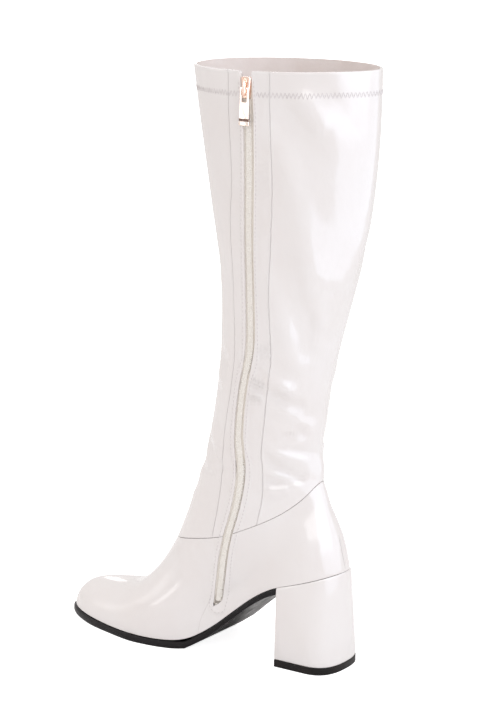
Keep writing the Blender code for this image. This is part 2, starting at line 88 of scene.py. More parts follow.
# Sewing: the zigzag below the collar, the thread, and the row of stitches round the slot.
HEM_DROP = 16.0
HEM_LOOKS = 1441
ZIGZAG_WIDTH = 4.6
ZIGZAG_PITCH = 2.9
ZIGZAG_OVERLAP = 0.3
ZIGZAG_FROM_SLOT = 1.5
THREAD_RADIUS = 0.22
THREAD_FLATNESS = 1.15
STITCH_OFF = 6.4
STITCH_PITCH = 3.0
STITCH_LENGTH = 2.2
STITCH_DIVE = 0.12
STITCH_FROM_COLLAR = 2.5

# The slot, with the turned lip beside it and the panel that puckers, from its near to its far edge.
# All are measured from the zip's middle line.
SLOT_HALF_WIDTH = 4.6
LIP_OFF = 6.9
LIP_RISE = 0.4
PANEL_NEAR = 5.5
PANEL_NEAR_FADE = 3.0
PANEL_FAR = 14.5
PANEL_FAR_FADE = 3.5
PANEL_REACH = 19.0
PUCKER_END_FADE = 6.0

# Tape, coil and lower stop: depths are below the zip's middle line, and the stop lies some points from
# that line's end.
TAPE_DEPTH = 2.3
FACE_DEPTH = 1.25
FACE_CLEARANCE = 0.1
TOOTH_SIZE = (0.95, 2.7, 0.7)
TOOTH_EDGE = 0.22
TOOTH_PITCH = 1.45
TOOTH_OFF = 0.95
COIL_DEPTH = 0.45
COIL_TOP_DROP = 14.0
COIL_END_GAP = 3.0
STOP_SIZE = (3.0, 5.4, 1.6)
STOP_EDGE = 0.45
STOP_DEPTH = 0.9
STOP_FROM_END = 4

# Slider and pull tab: rise is from the tab's lower end.
SLIDER_BODY_DEPTH = 4.4
SLIDER_NARROWING = 0.3
PULL_FOOT_SIZE = (1.9, 8.5, 3.2)
PULL_FOOT_EDGE = 0.6
PULL_FOOT_RISE = 1.75
GROOVE_SIZE = (1.5, 7.9, 1.9)
GROOVE_EDGE = 0.2
GROOVE_RISE = 4.2

# Middle of the zip down the inner side, from the collar to its lower end: ahead, height.
ZIP_COURSE = (
    (63.5, 429), (61.5, 400), (61.0, 360), (61.5, 320), (61.0, 280), (61.0, 252), (62.5, 230), (66.5, 218),
    (70.0, 200), (73.0, 166), (70.5, 150), (72.5, 132), (76.5, 114), (82.0, 96), (86.5, 78), (90.0, 60),
    (95.0, 38),
)

# Seams of the panels beside the zip, and of the vamp on the inner side: ahead, height.
BACK_PANEL_SEAM = (
    (45.5, 434), (44.8, 403), (42.5, 361.5), (43.9, 318), (45.3, 280), (46.2, 235), (47.8, 218), (51.5, 194),
    (55.7, 162), (55.5, 150), (56.0, 128), (60.3, 105),
)
FRONT_PANEL_SEAM = (
    (79.5, 433), (79.0, 400), (77.0, 358), (79.3, 325), (77.5, 275), (76.3, 236), (79.0, 213), (86.0, 172),
    (88.6, 131), (96.5, 88),
)
VAMP_SEAM = ((100.3, 40.4), (106.9, 25.4), (106.3, 15.0))

# Short closing seam at the back of the heel seat: across, height.
SEAT_SEAM = ((0.0, 96.0), (0.2, 88.0), (0.0, 80.0))

# Sewn seams: name, skin, side it is seen from, course, points on it, reach, width and depth of the groove.
SEAMS = (
    ("back_seam", "shaft", "inner", BACK_PANEL_SEAM, 500, 8.0, 0.5, 0.4),
    ("front_seam", "shaft", "inner", FRONT_PANEL_SEAM, 500, 8.0, 0.5, 0.4),
    ("vamp_seam", "upper", "inner", VAMP_SEAM, 60, 8.0, 0.4, 0.15),
    ("seat_seam", "upper", "back", SEAT_SEAM, 40, 5.0, 0.6, 0.5),
)

# Skins: solid, piece, material and how much its patent ripples.
SKINS = (
    ("upper", "boot_upper", "patent_foot", 0.3),
    ("shaft", "boot_shaft", "patent_leg", 1.3),
)

# Puckers of the panels beside the zip: side (1 behind it), top and bottom height, pitch, depth.
PUCKERS = (
    (1, 378, 344, 4.3, 0.35),
    (1, 248, 221, 6.0, 0.45),
    (1, 222, 197, 8.2, 1.0),
    (-1, 368, 340, 8.0, 0.22),
    (-1, 262, 232, 9.0, 0.2),
    (1, 330, 300, 7.0, 0.12),
)


def place(across, ahead, height):
    """A place on the boot, in millimetres, as a point of the shared frame."""
    return Vector((across + MIDDLE_ACROSS, HEEL_BACK - ahead, height)) * MM


# Looking down a straight way onto the boot: where the look starts and which way it goes.
WAYS = {
    "inner": (lambda a, b: place(300.0, a, b), Vector((-1, 0, 0))),
    "outer": (lambda a, b: place(-300.0, a, b), Vector((1, 0, 0))),
    "front": (lambda a, b: place(a, 500.0, b), Vector((0, 1, 0))),
    "back": (lambda a, b: place(a, -300.0, b), Vector((0, -1, 0))),
}

# A look that misses the boot, in metres, ends here along its way, and the nearest place is taken.
LOOK_REACH = 0.26

# Folds of the leather: way, half width, depth (below zero stands proud), then spots from end to end.
FOLDS = (
    ("inner", 5.0, 1.3, ((98, 232), (90, 227), (82, 219))),
    ("inner", 4.5, -1.1, ((99, 217), (92, 211), (85, 203))),
    ("inner", 4.0, 1.7, ((51, 207), (44, 202), (36, 198), (28, 194))),
    ("inner", 5.0, -2.0, ((53, 220), (46, 215), (38, 210), (32, 207))),
    ("inner", 3.2, 1.9, ((55, 154), (47, 150), (38, 145), (30, 142))),
    ("inner", 3.6, -1.6, ((56, 164), (45, 160), (34, 156), (27, 152))),
    ("inner", 2.6, 1.3, ((57, 139), (47, 138), (36, 140), (28, 145))),
    ("inner", 4.0, -1.0, ((57, 131), (48, 131), (38, 135))),
    ("inner", 3.6, 1.4, ((24, 176), (32, 176), (41, 172), (47, 168))),
    ("inner", 3.0, 1.2, ((114, 139), (104, 138), (94, 139))),
    ("inner", 4.5, 1.4, ((112, 165), (102, 157), (94, 150))),
    ("inner", 3.0, 0.9, ((98, 152), (90, 146), (84, 140))),
    ("inner", 8.0, 2.2, ((46, 330), (36, 300), (28, 268), (24, 236))),
    ("inner", 9.0, -1.6, ((40, 384), (28, 350), (18, 312), (14, 276))),
    ("inner", 6.0, 1.5, ((20, 270), (12, 248), (6, 222))),
    ("inner", 7.0, 1.0, ((110, 330), (104, 290), (104, 250))),
    ("inner", 7.0, -0.8, ((96, 300), (94, 260), (100, 225))),
    ("inner", 10.0, 2.0, ((42, 420), (31, 402), (20, 386), (8, 362))),
    ("inner", 9.0, -1.4, ((30, 425), (18, 408), (8, 392))),
    ("back", 6.0, 0.7, ((-26, 168), (-8, 160), (12, 158), (28, 166))),
    ("back", 6.0, -0.5, ((-24, 186), (-4, 180), (16, 180), (28, 186))),
    ("back", 5.0, 0.5, ((-22, 140), (0, 136), (22, 142))),
    ("back", 8.0, 1.5, ((-20, 330), (-6, 290), (8, 250), (20, 222))),
    ("outer", 5.0, 1.8, ((20, 148), (36, 146), (52, 152), (66, 160))),
    ("outer", 5.0, -1.4, ((18, 160), (34, 160), (50, 166))),
    ("outer", 4.5, 1.3, ((30, 128), (48, 132), (62, 142))),
    ("outer", 6.0, 1.6, ((104, 222), (90, 216), (76, 214))),
    ("outer", 6.0, 1.4, ((24, 204), (36, 210), (50, 208))),
    ("outer", 10.0, 1.2, ((40, 350), (50, 310), (60, 270), (66, 232))),
    ("outer", 12.0, -0.8, ((70, 372), (78, 330), (84, 290))),
    ("outer", 4.0, 1.3, ((116, 120), (104, 124), (92, 132))),
    ("front", 5.0, 1.6, ((-22, 150), (-6, 142), (10, 142), (24, 150))),
    ("front", 5.5, -1.2, ((-20, 166), (0, 158), (20, 164))),
    ("front", 5.0, 1.2, ((-20, 128), (0, 122), (20, 128))),
    ("front", 8.0, 1.3, ((-18, 232), (0, 224), (18, 230))),
)


def pick(*things):
    """Only these things are selected, the first of them active."""
    bpy.ops.object.select_all(action="DESELECT")
    for thing in things:
        thing.select_set(True)
    bpy.context.view_layer.objects.active = things[0]


def apply_modifiers(thing):
    pick(thing)
    for modifier in list(thing.modifiers):
        bpy.ops.object.modifier_apply(modifier=modifier.name)


def add_object(name, data):
    """Put a mesh, lamp or camera into the scene."""
    thing = bpy.data.objects.new(name, data)
    bpy.context.scene.collection.objects.link(thing)
    return thing


def copy_of(node, name):
    """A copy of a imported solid's mesh, merged and in quads, at the origin."""
    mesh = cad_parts[node].data.copy()
    mesh.transform(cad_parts[node].matrix_world)
    mesh.name = name
    mesh.materials.clear()
    thing = add_object(name, mesh)
    pick(thing)
    bpy.ops.object.mode_set(mode="EDIT")
    bpy.ops.mesh.select_all(action="SELECT")
    bpy.ops.mesh.remove_doubles(threshold=0.01 * MM)
    bpy.ops.mesh.customdata_custom_splitnormals_clear()
    bpy.ops.mesh.tris_convert_to_quads(face_threshold=math.radians(60), shape_threshold=math.radians(75))
    bpy.ops.object.mode_set(mode="OBJECT")
    return thing


def middle_of_ring(height, rings):
    """Middle of the leg or foot at a height, from the solid's own corners."""
    near = rings[np.abs(rings[:, 2] - height) < 12 * MM]
    return (near.min(0) + near.max(0)) / 2


def keep_face_of_wall(thing, outside):
    """Leave only the outer or the inner face of a shell's wall, as an open sheet."""
    mesh = thing.data
    spots = np.array([vertex.co for vertex in mesh.vertices])
    low, high = spots.min(0), spots.max(0)
    height = low[2] + (high[2] - low[2]) * 0.75
    centre = middle_of_ring(height, spots)
    tree = BVHTree.FromObject(thing, bpy.context.evaluated_depsgraph_get())
    start = Vector((centre[0] - 0.3 * outside, centre[1], height))
    way = Vector((1, 0, 0)) if outside else Vector((-1, 0, 0))
    seed = tree.ray_cast(start, way)[2]
    pick(thing)
    bpy.ops.object.mode_set(mode="EDIT")
    bpy.ops.mesh.select_all(action="DESELECT")
    bpy.ops.mesh.select_mode(type="FACE")
    sheet = bmesh.from_edit_mesh(mesh)
    sheet.faces.ensure_lookup_table()
    sheet.faces[seed].select_set(True)
    bmesh.update_edit_mesh(mesh)
    bpy.ops.mesh.faces_select_linked_flat(sharpness=math.radians(WALL_TURN))
    bpy.ops.mesh.select_all(action="INVERT")
    bpy.ops.mesh.delete(type="FACE")
    bpy.ops.object.mode_set(mode="OBJECT")


def subdivide(thing, levels):
    modifier = thing.modifiers.new("smooth", "SUBSURF")
    modifier.levels = levels
    modifier.render_levels = levels
    modifier.boundary_smooth = "PRESERVE_CORNERS"
    apply_modifiers(thing)


def corners(thing):
    """A mesh's corners as rows."""
    spots = np.empty(len(thing.data.vertices) * 3)
    thing.data.vertices.foreach_get("co", spots)
    return spots.reshape(-1, 3)


def normals(thing):
    """Which way a mesh faces at each corner."""
    ways = np.empty(len(thing.data.vertices) * 3)
    thing.data.vertices.foreach_get("normal", ways)
    return ways.reshape(-1, 3)


def set_corners(thing, spots):
    thing.data.vertices.foreach_set("co", spots.reshape(-1))
    thing.data.update()


def tree_of(*things):
    """One searchable surface of several sheets."""
    spots, faces = [], []
    for thing in things:
        start = len(spots)
        spots += [thing.matrix_world @ vertex.co for vertex in thing.data.vertices]
        faces += [[start + i for i in polygon.vertices] for polygon in thing.data.polygons]
    return BVHTree.FromPolygons(spots, faces)


def touch(tree, way, a, b):
    """Where a look from that side first meets the boot, or the nearest place if it misses."""
    start_of, direction = WAYS[way]
    start = start_of(a, b)
    spot = tree.ray_cast(start, direction)[0]
    return spot if spot is not None else tree.find_nearest(start + direction * LOOK_REACH)[0]


def lengths_along(line):
    """How far along a line each of its points lies."""
    return np.concatenate([[0.0], np.cumsum(np.linalg.norm(np.diff(line, axis=0), axis=1))])


def points_at(line, lengths, at):
    """Points on a line at some lengths along it."""
    return np.stack([np.interp(at, lengths, line[:, axis]) for axis in range(3)], axis=1)


def course(spots, count):
    """Even points on a smooth curve through a few spots."""
    spots = [np.array(spot) for spot in spots]
    ends = [2 * spots[0] - spots[1]] + spots + [2 * spots[-1] - spots[-2]]
    fine = []
    for p0, p1, p2, p3 in zip(ends, ends[1:], ends[2:], ends[3:]):
        for t in np.linspace(0.0, 1.0, 16, endpoint=False):
            bend = (2 * p0 - 5 * p1 + 4 * p2 - p3) * t * t + (3 * p1 - p0 - 3 * p2 + p3) * t ** 3
            fine.append((2 * p1 + (p2 - p0) * t + bend) / 2)
    fine = np.array(fine + [spots[-1]])
    lengths = lengths_along(fine)
    return points_at(fine, lengths, np.linspace(0.0, lengths[-1], count))


def snapped(tree, line):
    """The same line, moved onto the nearest surface."""
    return np.array([tree.find_nearest(Vector(point))[0] for point in line])


def line_on(tree, way, spots, count):
    """A smooth line that lies on the boot's surface, through a few spots."""
    return snapped(tree, course([touch(tree, way, a, b) for a, b in spots], count))


def ease(share):
    """A soft step from 0 to 1."""
    share = np.clip(share, 0.0, 1.0)
    return share * share * (3.0 - 2.0 * share)


def nearest_on(line, spots, reach):
    """For each corner near a line: its number, the line point nearest to it and the distance."""
    low, high = line.min(0) - reach, line.max(0) + reach
    near = np.nonzero(np.all((spots > low) & (spots < high), axis=1))[0]
    which = np.empty(len(near), int)
    far = np.empty(len(near))
    for start in range(0, len(near), 4000):
        part = spots[near[start:start + 4000]]
        gaps = np.linalg.norm(part[:, None, :] - line[None, :, :], axis=2)
        which[start:start + 4000] = gaps.argmin(1)
        far[start:start + 4000] = gaps.min(1)
    keep = far < reach
    return near[keep], which[keep], far[keep]


def fold_leather(thing, tree):
    """Press the creases into a skin as soft troughs with a slight lip, or raise them."""
    spots, ways = corners(thing), normals(thing)
    push = np.zeros(len(spots))
    for way, width, depth, marks in FOLDS:
        line = line_on(tree, way, marks, FOLD_POINTS)
        near, which, far = nearest_on(line, spots, width * FOLD_REACH * MM)
        share = which / (FOLD_POINTS - 1)
        taper = ease(np.minimum(share, 1.0 - share) * FOLD_TAPER)
        beside = far / (width * MM)
        trough = np.exp(-beside ** 2) - FOLD_LIP * np.exp(-(beside - FOLD_LIP_OFF) ** 2)
        push[near] -= depth * MM * taper * trough
    inward = -DEEPEST_FOLD * MM * np.tanh(-push / (DEEPEST_FOLD * MM))
    push = np.where(push < 0.0, inward, push)
    set_corners(thing, spots + ways * push[:, None])


def pucker_leather(thing, zip_line):
    """Raise the turned lip beside the zip and gather the panels next to it into small cross waves."""
    spots, ways = corners(thing), normals(thing)
    near, which, far = nearest_on(zip_line, spots, PANEL_REACH * MM)
    side = np.cross(np.gradient(zip_line, axis=0)[which], spots[near] - zip_line[which])
    off = far / MM * np.sign(np.sum(side * ways[near], axis=1))
    height = zip_line[which, 2] / MM
    push = LIP_RISE * (1.0 - ease(np.abs(off) - LIP_OFF))
    for wanted, top, bottom, pitch, depth in PUCKERS:
        across = off * wanted
        window = ease((across - PANEL_NEAR) / PANEL_NEAR_FADE)
        window *= 1.0 - ease((across - PANEL_FAR) / PANEL_FAR_FADE)
        window *= ease((top - height) / PUCKER_END_FADE) * ease((height - bottom) / PUCKER_END_FADE)
        bend = 0.9 * np.sin(height * 0.31 + 1.3) + 0.12 * across
        wave = np.sin(2.0 * math.pi * (height + bend) / pitch)
        push += depth * window * (wave + 0.35 * wave * wave)
    spots[near] += ways[near] * push[:, None] * MM
    set_corners(thing, spots)


def unit(rows):
    return rows / np.linalg.norm(rows, axis=1)[:, None]


def soften(rows):
    """Running mean of rows, so that flat facets give smooth directions."""
    padded = np.pad(rows, ((FACET_SPAN // 2, FACET_SPAN // 2), (0, 0)), mode="edge")
    weights = np.ones(FACET_SPAN) / FACET_SPAN
    return np.stack([np.convolve(padded[:, axis], weights, "valid") for axis in range(3)], axis=1)


def frames_on(tree, line):
    """The directions along, beside and out of a surface at each point of a line on it."""
    along = unit(np.gradient(line, axis=0))
    out = soften(np.array([tree.find_nearest(Vector(point))[1] for point in line]))
    out = unit(out - along * np.sum(out * along, axis=1)[:, None])
    return along, np.cross(out, along), out


def even_steps(line, pitch):
    """Points every so many millimetres along a line."""
    lengths = lengths_along(line)
    return points_at(line, lengths, np.arange(pitch * MM / 2, lengths[-1], pitch * MM))


def copies(pattern, name, middles, along, beside, out, stretch=None):
    """One piece made of many copies of a small pattern, each with its own place, turn and length."""
    shape = corners(pattern)
    faces = [tuple(polygon.vertices) for polygon in pattern.data.polygons]
    stretch = np.ones(len(middles)) if stretch is None else stretch
    spots, polygons = [], []
    for row, middle in enumerate(middles):
        start = row * len(shape)
        spots += list(middle + shape[:, :1] * stretch[row] * along[row]
                      + shape[:, 1:2] * beside[row] + shape[:, 2:] * out[row])
        polygons += [tuple(start + corner for corner in face) for face in faces]
    mesh = bpy.data.meshes.new(name)
    mesh.from_pydata([tuple(spot) for spot in spots], [], polygons)
    thing = add_object(name, mesh)
    bpy.data.objects.remove(pattern)
    return thing


def model_stitch():
    """One stitch a millimetre long: a drawn-out ball of thread whose ends dive into the leather."""
    half = 0.5 * MM
    lying = (0, math.radians(90), 0)
    bpy.ops.object.select_all(action="DESELECT")
    bpy.ops.mesh.primitive_uv_sphere_add(segments=6, ring_count=5, radius=1.0, rotation=lying)
    stitch = bpy.context.active_object
    bpy.ops.object.transform_apply(location=False, rotation=True, scale=False)
    stitch.scale = (half, THREAD_RADIUS * MM * THREAD_FLATNESS, THREAD_RADIUS * MM)
    bpy.ops.object.transform_apply(location=False, rotation=False, scale=True)
    spots = corners(stitch)
    spots[:, 2] -= STITCH_DIVE * MM * (spots[:, 0] / half) ** 2
    set_corners(stitch, spots)
    return stitch


def model_block(name, size, edge, segments=1):
    """A small block at the origin with its edges rounded over."""
    bpy.ops.object.select_all(action="DESELECT")
    bpy.ops.mesh.primitive_cube_add(size=1.0, location=(0, 0, 0))
    block = bpy.context.active_object
    block.name = name
    block.data.name = name
    block.scale = tuple(side * MM for side in size)
    bpy.ops.object.transform_apply(location=False, rotation=False, scale=True)
    bpy.ops.object.mode_set(mode="EDIT")
    bpy.ops.mesh.select_all(action="SELECT")
    bpy.ops.mesh.bevel(offset=edge * MM, segments=segments)
    bpy.ops.object.mode_set(mode="OBJECT")
    return block


def turn_edges(thing):
    """Turn every open edge of a skin inward and round it over."""
    sheet = bmesh.new()
    sheet.from_mesh(thing.data)
    weight = sheet.edges.layers.float.new("bevel_weight_edge")
    rims = [edge for edge in sheet.edges if edge.is_boundary]
    outer = {vertex for edge in rims for vertex in edge.verts}
    ways = {vertex: vertex.normal.copy() for vertex in outer}
    made = bmesh.ops.extrude_edge_only(sheet, edges=rims)["geom"]
    for vertex in (item for item in made if isinstance(item, bmesh.types.BMVert)):
        source = next(e.other_vert(vertex) for e in vertex.link_edges if e.other_vert(vertex) in ways)
        vertex.co = source.co - ways[source] * LEATHER_EDGE * MM
    for edge in rims:
        edge[weight] = 1.0
    bmesh.ops.recalc_face_normals(sheet, faces=sheet.faces)
    sheet.to_mesh(thing.data)
    sheet.free()
    modifier = thing.modifiers.new("round", "BEVEL")
    modifier.limit_method = "WEIGHT"
    modifier.width = EDGE_ROUND * MM
    modifier.segments = 3
    apply_modifiers(thing)


def round_edges(thing, width, segments):
    """Round over the sharp edges of a piece."""
    modifier = thing.modifiers.new("round", "BEVEL")
    modifier.limit_method = "ANGLE"
    modifier.angle_limit = math.radians(40)
    modifier.width = width * MM
    modifier.segments = segments
    apply_modifiers(thing)


def zip_course():
    """The zip's middle line on the boot's surface, with its directions along, beside and out."""
    tape = tree_of(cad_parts["zip_tape"])
    line = line_on(tape, "inner", ZIP_COURSE, 600)
    along, beside, out = frames_on(tape, line)
    return line + out * TAPE_DEPTH * MM, along, beside, out


def write_field(thing, name, values):
    """Keep a measure on each corner of a mesh."""
    attribute = thing.data.attributes.new(name, "FLOAT", "POINT")
    attribute.data.foreach_set("value", np.ascontiguousarray(values, dtype=np.float32))


def line_field(thing, name, line, reach):
    """Write each corner's signed distance from a line, in millimetres, and how near the line it is."""
    spots, ways = corners(thing), normals(thing)
    near, which, far = nearest_on(line, spots, reach * MM)
    side = np.cross(spots[near] - line[which], np.gradient(line, axis=0)[which])
    off, close = np.full(len(spots), reach), np.zeros(len(spots))
    off[near] = far / MM * np.sign(np.sum(side * ways[near], axis=1))
    close[near] = 1.0 - ease(far / (reach * MM) * 2.0 - 0.9)
    write_field(thing, name, off)
    write_field(thing, name + "_near", close)


def smooth_all(thing, angle=None):
    """Shade a piece smooth, all over or only where it turns by less than an angle."""
    pick(thing)
    if angle is None:
        bpy.ops.object.shade_smooth()
    else:
        bpy.ops.object.shade_smooth_by_angle(angle=math.radians(angle))


def finish_piece(thing, material, body="boot", nodes=()):
    """Give a piece its finish, its body and the solids it stands for."""
    thing.data.materials.clear()
    thing.data.materials.append(material)
    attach(thing, body)
    if nodes:
        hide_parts(*nodes)


def new_material(name, color, roughness, metallic=0.0, coat=0.0):
    """A material with its node tree and its shader."""
    material = bpy.data.materials.new(name)
    material.use_nodes = True
    tree = material.node_tree
    shader = tree.nodes["Principled BSDF"]
    shader.inputs["Base Color"].default_value = (*color, 1.0)
    shader.inputs["Roughness"].default_value = roughness
    shader.inputs["Metallic"].default_value = metallic
    shader.inputs["Coat Weight"].default_value = coat
    shader.inputs["Coat Roughness"].default_value = 0.03
    material.diffuse_color = (*color, 1.0)
    return material, tree, shader


def value_node(tree, operation, first, second=None):
    """A Math node fed by sockets or numbers."""
    node = tree.nodes.new("ShaderNodeMath")
    node.operation = operation
    for socket, value in zip(node.inputs, (first, second)):
        if value is None:
            continue
        if isinstance(value, (int, float)):
            socket.default_value = value
        else:
            tree.links.new(value, socket)
    return node.outputs[0]


def fade(tree, value, low, high, to_low=0.0, to_high=1.0):
    """Smooth step of a value between two bounds."""
    node = tree.nodes.new("ShaderNodeMapRange")
    node.interpolation_type = "SMOOTHSTEP"
    node.inputs["From Min"].default_value = low
    node.inputs["From Max"].default_value = high
    node.inputs["To Min"].default_value = to_low
    node.inputs["To Max"].default_value = to_high
    tree.links.new(value, node.inputs["Value"])
    return node.outputs["Result"]


def noise(tree, scale, detail=3.0):
    """Noise in the piece's own coordinates."""
    coordinates = tree.nodes.new("ShaderNodeTexCoord")
    texture = tree.nodes.new("ShaderNodeTexNoise")
    texture.inputs["Scale"].default_value = scale
    texture.inputs["Detail"].default_value = detail
    tree.links.new(coordinates.outputs["Object"], texture.inputs["Vector"])
    return texture.outputs["Fac"]


def field(tree, name):
    """A measure that was written on the piece's corners."""
    node = tree.nodes.new("ShaderNodeAttribute")
    node.attribute_name = name
    return node.outputs["Fac"]


def mix_color(tree, factor, first, second):
    """A mix of two colours, each a socket or a plain colour."""
    node = tree.nodes.new("ShaderNodeMix")
    node.data_type = "RGBA"
    tree.links.new(factor, node.inputs[0])
    for socket, value in ((node.inputs[6], first), (node.inputs[7], second)):
        if isinstance(value, tuple):
            socket.default_value = (*value, 1.0)
        else:
            tree.links.new(value, socket)
    return node.outputs[2]


def bump(tree, shader, height):
    """Relief of the surface, its height in millimetres."""
    node = tree.nodes.new("ShaderNodeBump")
    node.inputs["Distance"].default_value = MM
    tree.links.new(height, node.inputs["Height"])
    tree.links.new(node.outputs["Normal"], shader.inputs["Normal"])


def new_group(name, inputs, outputs):
    """An empty node group with its named sockets, and its input and output nodes."""
    group = bpy.data.node_groups.new(name, "ShaderNodeTree")
    for socket in inputs:
        group.interface.new_socket(socket, in_out="INPUT", socket_type="NodeSocketFloat")
    for socket in outputs:
        group.interface.new_socket(socket, in_out="OUTPUT", socket_type="NodeSocketFloat")
    return group, group.nodes.new("NodeGroupInput"), group.nodes.new("NodeGroupOutput")


def make_seam_group():
    """Node group: a sewn seam's groove, which the patent darkens with painted shade, and its relief with
    swollen lips, from the distance to it.
    """
    group, start, end = new_group("sewn_seam", ("Distance", "Near", "Width", "Depth"), ("Groove", "Height"))
    far = value_node(group, "ABSOLUTE", start.outputs["Distance"])
    share = value_node(group, "DIVIDE", far, start.outputs["Width"])
    groove = value_node(group, "MULTIPLY", fade(group, share, 0.0, 1.0, 1.0, 0.0), start.outputs["Near"])
    lips = value_node(group, "MULTIPLY", fade(group, share, 0.6, 5.0, 0.45, 0.0), start.outputs["Near"])
    deep = value_node(group, "SUBTRACT", lips, groove)
    height = value_node(group, "MULTIPLY", deep, start.outputs["Depth"])
    group.links.new(groove, end.inputs["Groove"])
    group.links.new(height, end.inputs["Height"])
    return group


def make_patent_group():
    """Node group: the faint peel, ripple and cloudiness of patent leather."""
    group, start, end = new_group("patent_surface", ("Ripple",), ("Height", "Cloud", "Roughness"))
    wide = value_node(group, "MULTIPLY", noise(group, 34.0, 2.0), start.outputs["Ripple"])
    peel = value_node(group, "MULTIPLY", noise(group, 900.0, 2.0), 0.012)
    fine = value_node(group, "MULTIPLY", noise(group, 190.0, 2.0), 0.04)
    height = value_node(group, "ADD", value_node(group, "ADD", wide, peel), fine)
    group.links.new(height, end.inputs["Height"])
    group.links.new(fade(group, noise(group, 22.0, 3.0), 0.3, 0.75), end.inputs["Cloud"])
    group.links.new(fade(group, noise(group, 60.0, 4.0), 0.3, 0.8, 0.1, 0.2), end.inputs["Roughness"])
    return group


def use_group(tree, group, **values):
    """Place a node group in a material, its inputs fed by sockets or numbers."""
    node = tree.nodes.new("ShaderNodeGroup")
    node.node_tree = group
    for name, value in values.items():
        if isinstance(value, (int, float)):
            node.inputs[name].default_value = value
        else:
            tree.links.new(value, node.inputs[name])
    return node


SEAM = make_seam_group()
PATENT = make_patent_group()

# Colours of the patent, the painted shade in its seam grooves, and the woven tape.
WHITE_PATENT = (0.835, 0.805, 0.795)
WARM_PATENT = (0.82, 0.78, 0.765)
SEAM_PAINTED_SHADE = (0.62, 0.57, 0.55)
SEAM_SHADE_STRENGTH = 0.35
TAPE_CREAM = (0.86, 0.82, 0.765)
TAPE_SHADE = (0.8, 0.755, 0.69)

# Plain finishes: two colours, roughness, scale of the mottling, relief in millimetres, metal, gloss.
FINISHES = {
    "lining_cloth": ((0.9, 0.84, 0.82), (0.86, 0.79, 0.76), 0.6, 40.0, 0.12, 0.0, 0.5),
    "insole_cloth": ((0.9, 0.84, 0.82), (0.86, 0.79, 0.76), 0.55, 60.0, 0.1, 0.0, 0.5),
    "sole_rubber": ((0.008, 0.007, 0.0075), (0.014, 0.012, 0.013), 0.3, 30.0, 0.06, 0.0, 0.2),
    "lift_rubber": ((0.008, 0.007, 0.007), (0.016, 0.012, 0.011), 0.35, 45.0, 0.06, 0.0, 0.2),
    "coil_nylon": ((0.88, 0.85, 0.8), (0.86, 0.825, 0.77), 0.4, 300.0, 0.05, 0.0, 0.5),
    "stop_metal": ((0.42, 0.38, 0.34), (0.3, 0.27, 0.24), 0.45, 300.0, 0.02, 0.0, 0.5),
    "rose_gold": ((0.93, 0.66, 0.53), (0.96, 0.78, 0.68), 0.16, 300.0, 0.01, 1.0, 0.5),
    "pale_gold": ((0.97, 0.84, 0.75), (0.98, 0.9, 0.84), 0.12, 300.0, 0.01, 1.0, 0.5),
    # Painted shade and patina: the dark band across the pull tab's groove.
    "groove_shade_and_patina": ((0.16, 0.09, 0.07), (0.22, 0.13, 0.1), 0.35, 300.0, 0.01, 0.0, 0.5),
    "sewing_thread": ((0.6, 0.56, 0.56), (0.7, 0.66, 0.66), 0.5, 300.0, 0.05, 0.0, 0.5),
}


def make_patent(name, seams, ripple):
    """Off-white patent: a clear gloss over a milky base, with the sewn seams drawn in as grooves darkened
    with painted shade.
    """
    material, tree, shader = new_material(name, WHITE_PATENT, 0.12, coat=0.9)
    surface = use_group(tree, PATENT, Ripple=ripple)
    color = mix_color(tree, surface.outputs["Cloud"], WHITE_PATENT, WARM_PATENT)
    height = surface.outputs["Height"]
    for seam_name, width, depth in seams:
        near = field(tree, seam_name + "_near")
        seam = use_group(tree, SEAM, Distance=field(tree, seam_name), Near=near, Width=width, Depth=depth)
        # Painted shade: each seam's groove darkens the patent's colour.
        groove = value_node(tree, "MULTIPLY", seam.outputs["Groove"], SEAM_SHADE_STRENGTH)
        color = mix_color(tree, groove, color, SEAM_PAINTED_SHADE)
        height = value_node(tree, "ADD", height, seam.outputs["Height"])
    tree.links.new(color, shader.inputs["Base Color"])
    tree.links.new(surface.outputs["Roughness"], shader.inputs["Roughness"])
    bump(tree, shader, height)
    return material


def make_plain(name):
    """A finish with soft mottling and a fine relief."""
    color, second, roughness, scale, relief, metallic, gloss = FINISHES[name]
    material, tree, shader = new_material(name, color, roughness, metallic)
    cloud = fade(tree, noise(tree, scale, 4.0), 0.35, 0.7)
    tree.links.new(mix_color(tree, cloud, color, second), shader.inputs["Base Color"])
    rough = fade(tree, noise(tree, scale * 2.5, 3.0), 0.3, 0.75, roughness * 0.8, min(roughness * 1.25, 1.0))
    tree.links.new(rough, shader.inputs["Roughness"])
    shader.inputs["Specular IOR Level"].default_value = gloss
    bump(tree, shader, value_node(tree, "MULTIPLY", noise(tree, scale * 12, 3.0), relief))
    return material


def make_skins():
    """The two patent skins, foot and leg: turned edges, folds and drawn seams. Gives their surface back."""
    skins = {node: copy_of(node, name) for node, name, _, _ in SKINS}
    for skin in skins.values():
        keep_face_of_wall(skin, True)
        subdivide(skin, 3)
    tree = tree_of(*skins.values())
    zip_line = zip_course()[0]
    for skin in skins.values():
        fold_leather(skin, tree)
        pucker_leather(skin, zip_line)
    tree = tree_of(*skins.values())
    for skin in skins.values():
        turn_edges(skin)
        smooth_all(skin)
    for name, node, way, spots, count, reach, _, _ in SEAMS:
        line_field(skins[node], name, line_on(tree, way, spots, count), reach)
    for node, _, name, ripple in SKINS:
        seams = [(seam, width, depth) for seam, skin, *_, width, depth in SEAMS if skin == node]
        finish_piece(skins[node], make_patent(name, seams, ripple), nodes=(node,))
    return tree


def make_linings():
    """Cloth-backed lining on the inner face of both walls."""
    material = make_plain("lining_cloth")
    for node, name in (("upper", "foot_lining"), ("shaft", "leg_lining")):
        lining = copy_of(node, name)
        keep_face_of_wall(lining, False)
        subdivide(lining, 1)
        smooth_all(lining)
        finish_piece(lining, material)


